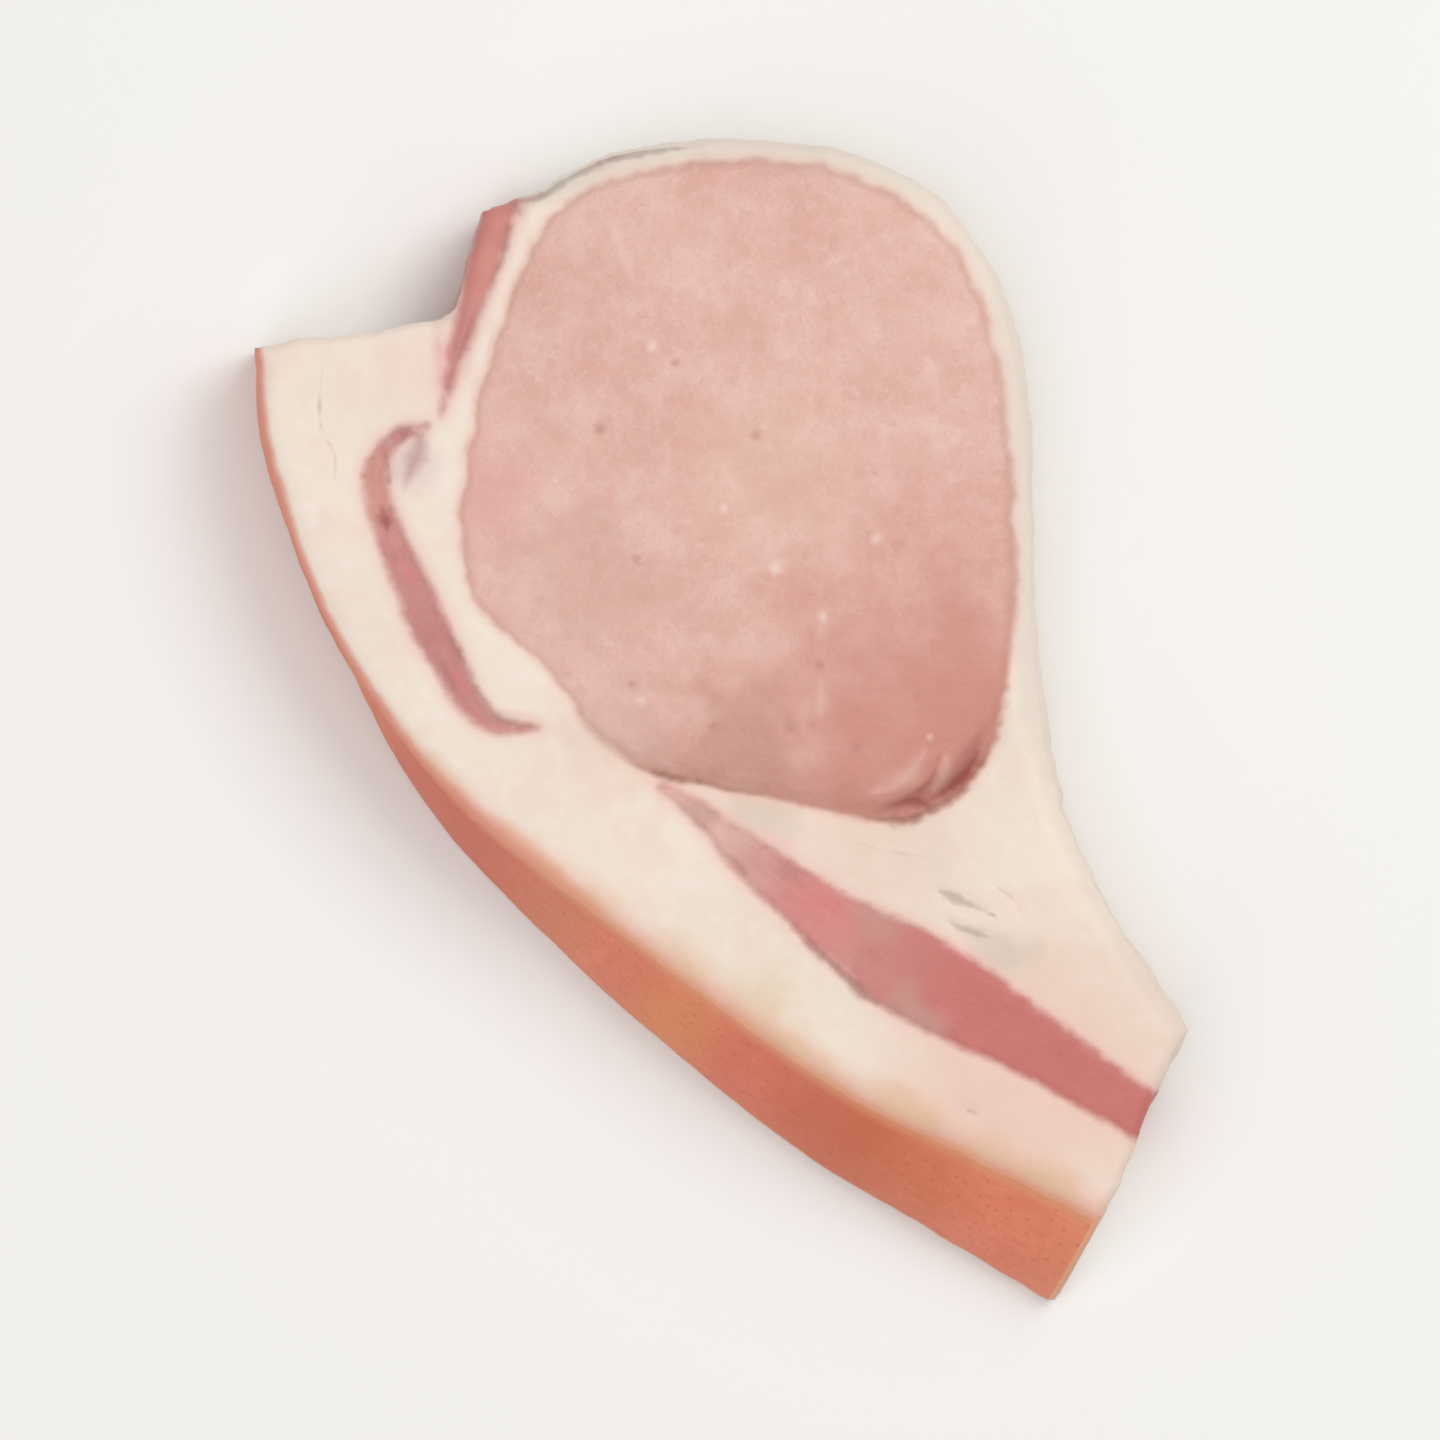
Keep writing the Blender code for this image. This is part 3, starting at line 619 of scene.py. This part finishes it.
# Each tint: the pattern it follows, the values from which and at which it is full, its strength
# and its colour.
flesh = {}
for tissue, colour, tints in (
        ("fat", "#EFE1D2", (
            (mark["broad"], -0.3, 0.5, 0.4, "#E7D6C6"), (mark["blotch"], 0.0, 0.6, 0.5, "#EED4C7"),
            (cloud[2.4], 0.50, 0.75, 0.3, "#F4EADF"), (spot["tail_tip"], 26, 6, 0.7, "#EAC2B1"),
            # Painted shade: the fat is greyer just under the crease and under the eye, where it lies
            # lower.
            (spot["cap_side"], 8, 2, 0.6, "#EDCFC6"), (spot["shade_under_eye"], 17, 4, 0.45, "#E4C3B3"),
            (spot["shade_under_crease"], 9, 2, 0.6, "#D3BDAC"), (spot["tail_grey"], 5.5, 1, 0.6, "#D2C3B2"),
            (spot["eye_foot"], 10, 3, 0.6, "#E8C5B7"), (spot["curl"], 5, 1, 0.7, "#DDC1BC"),
            (spot["fat_gold"], 7, 2, 0.55, "#DEC49E"),
            (mark["loin"], 3.4, 1.8, 0.55, "#EFE2D4"), (mark["eye"], -1.6, 0.0, 0.5, "#E9C6BA"),
            (mark["streak"], -2.2, -0.1, 0.6, "#EDC6BC"))),
        ("eye", "#E3B7AA", (
            (mark["broad"], -0.3, 0.5, 0.6, "#DEABA0"), (mark["blotch"], 0.0, 0.6, 0.5, "#E9C4B8"),
            (mark["blotch"], 0.0, -0.6, 0.4, "#D8A396"), (cloud[2.4], 0.45, 0.25, 0.3, "#D6A296"),
            (bundles, 0.55, 1.0, 0.18, "#D49E91"), (bundles, 0.45, 0.0, 0.18, "#EAC9BE"),
            (walls, 0.55, 0.80, 0.15, "#EBCBC1"), (cloud[0.4], 0.58, 0.8, 0.3, "#D39C8F"),
            (cloud[0.9], 0.60, 0.75, 0.25, "#ECCCC1"), (spot["eye_left"], 16, 4, 0.5, "#E2A8A0"),
            (spot["eye_foot"], 9, 2, 0.5, "#DEB7AB"), (spot["fold"], 44, 5, 0.9, "#CB887A"),
            (spot["low"], 11, 2, 0.6, "#C18D7C"), (spot["eye_gold"], 14, 4, 0.4, "#DDB39D"),
            (spot["eye_grey"], 13, 4, 0.35, "#D3A99B"), (mark["eye"], 1.3, 0.2, 0.35, "#CDA192"))),
        ("streaks", "#CE8F88", (
            (mark["blotch"], -0.5, 0.5, 0.7, "#BF7A76"), (cloud[2.4], 0.50, 0.75, 0.4, "#DAA29B"),
            (fibres, 0.50, 0.72, 0.14, "#DAA29B"), (fibres, 0.45, 0.28, 0.14, "#BA7670"),
            (mark["broad"], 0.0, 0.7, 0.4, "#C48D84"),
            (spot["cap_top"], 9, 3, 0.6, "#D2857A"), (spot["hook_top"], 9, 2, 0.6, "#D39A8B"),
            (rightward, 8, 34, 0.85, "#C86E67"), (spot["tail_start"], 19, 6, 0.95, "#DBAFA5"),
            (spot["tail_oval"], 3.4, 1, 0.7, "#C79C90"), (spot["tail_pink"], 8, 2, 0.6, "#DC8583"),
            (spot["tail_upper"], 5, 1, 0.6, "#C4968A"), (spot["tail_under"], 6, 1.5, 0.7, "#C3998D"),
            (spot["hook_low"], 14, 4, 0.45, "#BC7C7A"),
            (spot["vessel"], 4, 1, 0.7, "#BF8D8C"), (mark["streak"], 1.0, 0.1, 0.2, "#C08A83")))):
    colour = srgb(colour)
    for pattern, start, full, strength, tint in tints:
        limits = {"Value": pattern, "From Min": start, "From Max": full, "To Max": strength}
        amount = add(tree, "MapRange", limits, interpolation_type="SMOOTHSTEP")
        colour = add(tree, "Mix", {0: amount, 6: colour, 7: srgb(tint)}, out=2, data_type="RGBA")
    flesh[tissue] = colour

colour = add(tree, "Mix", {0: mask["eye"], 6: flesh["fat"], 7: flesh["eye"]}, out=2, data_type="RGBA")
colour = add(tree, "Mix", {0: mask["streak"], 6: colour, 7: flesh["streaks"]}, out=2, data_type="RGBA")
# Painted shade: the fold's crescent is darker where the eye's edge turns down, and the crease's brown line
# darker where the eye rolls over the fat.
overlays = [(mask["fold"], "#BF7F76"), (mask["crease"], "#A07060")]
overlays += [(mask[kind], tint) for kind, (_, _, tint, _) in MARKS.items()]
for amount, tint in overlays:
    colour = add(tree, "Mix", {0: amount, 6: colour, 7: srgb(tint)}, out=2, data_type="RGBA")

# Beside the rind the fat glows: a narrow pink band where the rind stands upright, a wide one, from
# gold to salmon, where it slants.
width = {"Value": mark["slant"], "From Min": 1, "From Max": 6, "To Min": 1.4, "To Max": 5.4}
width = add(tree, "MapRange", width)
glow = add(tree, "Math", {0: mark["blotch"], 1: 0.35}, operation="MULTIPLY")
glow = add(tree, "Math", {0: glow, 1: width, 2: mark["rind"]}, operation="MULTIPLY_ADD")
glow = add(tree, "MapRange", {"Value": glow, "From Min": width, "From Max": 0.0, "To Max": 0.95},
           interpolation_type="SMOOTHSTEP")
blush = add(tree, "MapRange", {"Value": mark["blotch"], "From Min": -0.4, "From Max": 0.5})
glow_tone = add(tree, "Mix", {0: blush, 6: srgb("#E2B998"), 7: srgb("#E8A994")}, out=2, data_type="RGBA")
slanting = add(tree, "MapRange", {"Value": mark["slant"], "From Min": 1, "From Max": 4})
glow_tone = add(tree, "Mix", {0: slanting, 6: srgb("#E9B8AC"), 7: glow_tone}, out=2, data_type="RGBA")
colour = add(tree, "Mix", {0: glow, 6: colour, 7: glow_tone}, out=2, data_type="RGBA")
# The cut edge of the skin itself is a thin salmon line, wider at one spot.
lying = add(tree, "MapRange", {"Value": mark["slant"], "From Min": 4, "From Max": 8})
skin_tone = add(tree, "Mix", {0: lying, 6: srgb("#DF917B"), 7: srgb("#E7A484")}, out=2, data_type="RGBA")
skin_line = add(tree, "Math", {0: wander, 1: 0.7, 2: mark["rind"]}, operation="MULTIPLY_ADD")
skin_width = {"Value": spot["wide_skin"], "From Min": 14, "From Max": 4, "To Min": 1.3, "To Max": 3.2}
skin_width = add(tree, "MapRange", skin_width)
skin_line = {"Value": skin_line, "From Min": skin_width, "From Max": 0.1, "To Max": 0.9}
skin_line = add(tree, "MapRange", skin_line, interpolation_type="SMOOTHSTEP")
colour = add(tree, "Mix", {0: skin_line, 6: colour, 7: skin_tone}, out=2, data_type="RGBA")
tree.links.new(colour, shader.inputs["Base Color"])

# The grain of the lean stands up to 0.15 mm, and the waxy fat a third of that.
lean = add(tree, "Math", {0: mask["eye"], 1: mask["streak"]}, operation="MAXIMUM")
rough = add(tree, "MapRange", {"Value": lean, "To Min": 0.35, "To Max": 1.0})
bump = add(tree, "Bump", {"Height": cloud[0.9], "Distance": 0.15 * MM, "Strength": rough})
tree.links.new(bump, shader.inputs["Normal"])
# Wetter and drier patches of a moist surface; flesh is mostly water, so its IOR is near water's.
moist = {"Value": cloud[2.4], "From Min": 0.3, "From Max": 0.7, "To Min": 0.38, "To Max": 0.54}
moist = add(tree, "MapRange", moist)
tree.links.new(moist, shader.inputs["Roughness"])
shader.inputs["IOR"].default_value = 1.40
shader.subsurface_method = "BURLEY"
shader.inputs["Subsurface Weight"].default_value = 0.25
shader.inputs["Subsurface Radius"].default_value = (1.0, 0.4, 0.25)
shader.inputs["Subsurface Scale"].default_value = 1.5 * MM
mesh.materials.append(raw)


# ==== Rind ========================================================================================
# Scalded and scraped pig skin, 2 to 3 mm thick: leathery, with a dull sheen, from peach to orange,
# in fine wrinkles along its length and with the pores of its bristles about 2 mm apart.

PORE_SPACING = 2.2

rind = bpy.data.materials.new("scalded_rind")
rind.use_nodes = True
tree = rind.node_tree
shader = tree.nodes["Principled BSDF"]
place = add(tree, "TexCoord", out=3)
place = add(tree, "VectorMath", {0: place, 1: (1 / MM, 1 / MM, 1 / MM)}, operation="MULTIPLY")
flat = add(tree, "VectorMath", {0: place, 1: (1, 1, 0)}, operation="MULTIPLY")
packed = add(tree, "Attribute", attribute_name="level_round_down", out=1)
level, around, down = add(tree, "SeparateXYZ", {0: packed}).node.outputs
# The skin laid out flat, round and down the slice, in millimetres.
laid = add(tree, "CombineXYZ", {0: around, 1: down})
wide = add(tree, "TexNoise", {"Vector": laid, "Scale": 1 / 9, "Detail": 2}, noise_dimensions="2D")
blotchy = {"Vector": laid, "Scale": 1 / 2.5, "Detail": 2, "Roughness": 0.6}
blotchy = add(tree, "TexNoise", blotchy, noise_dimensions="2D")
# Wrinkles are some 4 mm long and 0.8 mm apart.
wrinkled = add(tree, "VectorMath", {0: laid, 1: (0.25, 1.2, 1)}, operation="MULTIPLY")
wrinkled = {"Vector": wrinkled, "Scale": 1.0, "Detail": 2, "Roughness": 0.6}
wrinkled = add(tree, "TexNoise", wrinkled, noise_dimensions="2D")
pores = {"Vector": laid, "Scale": 1 / PORE_SPACING, "Randomness": 0.8}
pores = add(tree, "TexVoronoi", pores, voronoi_dimensions="2D")
spot = {}
for name, x, y in (
        ("upper", -38, -14), ("brown", -21, -25), ("gold", -6, -39), ("middle", 4, -44), ("deep", 14, -52),
        ("low", 24, -57), ("tip", 50, -70)):
    spot[name] = add(tree, "VectorMath", {0: flat, 1: (x, y, 0)}, out=1, operation="DISTANCE")
colour = srgb("#E88769")
for pattern, start, full, strength, tint in (
        (wide, 0.35, 0.65, 0.5, "#DF7A5C"), (blotchy, 0.50, 0.75, 0.35, "#EC9676"),
        (wrinkled, 0.45, 0.25, 0.35, "#D26F52"), (spot["upper"], 24, 6, 0.7, "#D06A55"),
        (spot["brown"], 8, 2, 0.5, "#D4825E"), (spot["gold"], 9, 2, 0.6, "#E29058"),
        (spot["middle"], 12, 3, 0.4, "#DC6C57"), (spot["deep"], 13, 3, 0.6, "#CA6241"),
        (spot["low"], 12, 3, 0.4, "#D07048"),
        (spot["tip"], 16, 4, 0.6, "#E89070"), (pores, 0.16, 0.05, 0.35, "#BE6144"),
        (level, 0.10, 0.0, 0.8, "#E29B76"), (level, 0.90, 1.0, 0.5, "#EBA88C")):
    limits = {"Value": pattern, "From Min": start, "From Max": full, "To Max": strength}
    amount = add(tree, "MapRange", limits, interpolation_type="SMOOTHSTEP")
    colour = add(tree, "Mix", {0: amount, 6: colour, 7: srgb(tint)}, out=2, data_type="RGBA")
tree.links.new(colour, shader.inputs["Base Color"])
bump = add(tree, "Bump", {"Height": wrinkled, "Distance": 0.25 * MM, "Strength": 0.8})
pits = add(tree, "MapRange", {"Value": pores, "From Min": 0.0, "From Max": 0.15})
bump = add(tree, "Bump", {"Height": pits, "Distance": 0.06 * MM, "Strength": 0.8, "Normal": bump})
tree.links.new(bump, shader.inputs["Normal"])
shader.inputs["Roughness"].default_value = 0.5
shader.inputs["IOR"].default_value = 1.40
mesh.materials.append(rind)

# The faces between two side rings run once round the slice, first along the rind.
slots = np.zeros(len(faces), dtype=np.int32)
side_faces = np.arange(cut_faces, len(faces))
slots[side_faces[(side_faces - cut_faces) % count < rind_count - 1]] = 1
mesh.polygons.foreach_set("material_index", slots)
mesh.update()


# ==== Floor, light and camera =====================================================================
# A plain floor of matt white paper under soft studio light from the upper right, seen from straight
# above by a long lens.

FLOOR_SIZE = 3.0
CAMERA_LENS = 300.0
CAMERA_HEIGHT = 1.524

bpy.ops.mesh.primitive_plane_add(size=FLOOR_SIZE)
floor = bpy.context.object
floor.name = "floor"
paper = bpy.data.materials.new("white_paper")
paper.use_nodes = True
shader = paper.node_tree.nodes["Principled BSDF"]
shader.inputs["Base Color"].default_value = srgb("#F4F3F1")
shader.inputs["Roughness"].default_value = 0.9
floor.data.materials.append(paper)

for name, where, size, power in (
        ("softbox", (0.55, 0.45, 0.95), 0.7, 6.0), ("overhead", (-0.2, -0.1, 1.3), 1.2, 5.0),
        ("fill", (-0.6, -0.6, 0.6), 0.8, 1.8)):
    lamp = bpy.data.lights.new(name, "AREA")
    lamp.size = size
    lamp.energy = power
    holder = bpy.data.objects.new(name, lamp)
    holder.location = where
    holder.rotation_euler = Vector(where).to_track_quat("Z", "Y").to_euler()
    bpy.context.scene.collection.objects.link(holder)
world = bpy.data.worlds.new("studio")
world.use_nodes = True
surroundings = world.node_tree.nodes["Background"]
surroundings.inputs["Color"].default_value = srgb("#FFFDFB")
surroundings.inputs["Strength"].default_value = 0.38
bpy.context.scene.world = world
bpy.context.scene.view_settings.view_transform = "Standard"

camera = bpy.data.objects.new("camera", bpy.data.cameras.new("camera"))
camera.data.lens = CAMERA_LENS
camera.location = (0.0, 0.0, CAMERA_HEIGHT)
bpy.context.scene.collection.objects.link(camera)
bpy.context.scene.camera = camera
